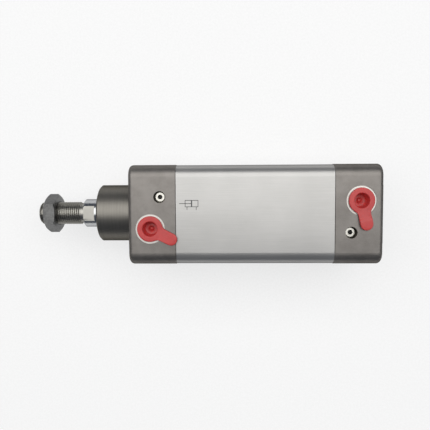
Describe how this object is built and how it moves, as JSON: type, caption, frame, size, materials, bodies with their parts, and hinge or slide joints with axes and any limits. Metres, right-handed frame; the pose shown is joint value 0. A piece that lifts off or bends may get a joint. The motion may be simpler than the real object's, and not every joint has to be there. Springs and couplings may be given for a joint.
{
  "type": "pneumatic cylinder",
  "caption": "Double-acting pneumatic cylinder with square profile tube, cushioned heads, threaded piston rod with thin nut, and pull-tab transport plugs in its ports.",
  "frame": {"origin": "centre of the front head's mounting face, on the rod's axis", "axes": "+X along the rod, the way it extends; +Z the way the ports face; +Y across"},
  "size_m": [0.235, 0.066, 0.0675],
  "materials": {
    "anodised_aluminium": "fine matt, silver anodised",
    "cast_aluminium": "die-cast, blasted, grey",
    "chromed_steel": "ground and hard-chromed",
    "plated_steel": "zinc-plated",
    "dark_steel": "phosphated",
    "bronze": "sintered",
    "seal_rubber": "matt",
    "seal_polyurethane": "satin",
    "guide_plastic": "matt",
    "piston_aluminium": "turned",
    "magnet": "matt",
    "plug_plastic": "soft, slightly glossy"
  },
  "bodies": {
    "barrel": {"profile_tube": "anodised_aluminium", "front_head": "cast_aluminium", "rear_head": "cast_aluminium", "front_head_screws": "plated_steel", "rear_head_screws": "plated_steel", "rod_bush": "bronze", "rod_wiper_seal": "seal_polyurethane", "front_cushion_seal": "seal_polyurethane", "rear_cushion_seal": "seal_polyurethane", "front_head_ring": "seal_rubber", "rear_head_ring": "seal_rubber"},
    "piston_seals": {"piston_guide_ring": "guide_plastic", "front_piston_seal": "seal_rubber", "rear_piston_seal": "seal_rubber"},
    "piston_and_rod": {"piston_rod": "chromed_steel", "piston_nut": "plated_steel", "front_piston_half": "piston_aluminium", "rear_piston_half": "piston_aluminium", "piston_magnet": "magnet", "piston_bore_ring": "seal_rubber", "front_cushion_sleeve": "piston_aluminium", "rear_cushion_sleeve": "piston_aluminium"},
    "nut": {"rod_nut": "dark_steel"},
    "front_plug": {"front_port_plug": "plug_plastic"},
    "rear_plug": {"rear_port_plug": "plug_plastic"},
    "front_screw_seal": {"front_cushion_screw_ring": "seal_rubber"},
    "front_screw": {"front_cushion_screw": "plated_steel"},
    "rear_screw_seal": {"rear_cushion_screw_ring": "seal_rubber"},
    "rear_screw": {"rear_cushion_screw": "plated_steel"}
  },
  "joints": [
    {"name": "rod_stroke", "type": "slide", "parent": "barrel", "child": "piston_seals", "axis": [1, 0, 0], "range_m": [0, 0.06]},
    {"name": "rod_turn", "type": "hinge", "parent": "piston_seals", "child": "piston_and_rod", "pos_m": [0, 0, 0], "axis": [1, 0, 0], "continuous": true},
    {"name": "nut_travel", "type": "slide", "parent": "piston_and_rod", "child": "nut", "axis": [1, 0, 0], "range_m": [-0.0165, 0.016]},
    {"name": "front_plug_pull", "type": "slide", "parent": "barrel", "child": "front_plug", "axis": [0, 0, 1], "range_m": [0, 0.015]},
    {"name": "rear_plug_pull", "type": "slide", "parent": "barrel", "child": "rear_plug", "axis": [0, 0, 1], "range_m": [0, 0.015]},
    {"name": "front_screw_lift", "type": "slide", "parent": "barrel", "child": "front_screw_seal", "axis": [0, 0, 1], "range_m": [-0.00075, 0.0015]},
    {"name": "front_screw_turn", "type": "hinge", "parent": "front_screw_seal", "child": "front_screw", "pos_m": [-0.0208, -0.0118, 0.0292], "axis": [0, 0, 1], "range_deg": [-540, 1080]},
    {"name": "rear_screw_lift", "type": "slide", "parent": "barrel", "child": "rear_screw_seal", "axis": [0, 0, 1], "range_m": [-0.00075, 0.0015]},
    {"name": "rear_screw_turn", "type": "hinge", "parent": "rear_screw_seal", "child": "rear_screw", "pos_m": [-0.1452, 0.0118, 0.0292], "axis": [0, 0, 1], "range_deg": [-540, 1080]}
  ],
  "couplings": [
    {"joint": "front_screw_turn", "follows": "front_screw_lift", "rad_per_m": 12566},
    {"joint": "rear_screw_turn", "follows": "rear_screw_lift", "rad_per_m": 12566}
  ]
}
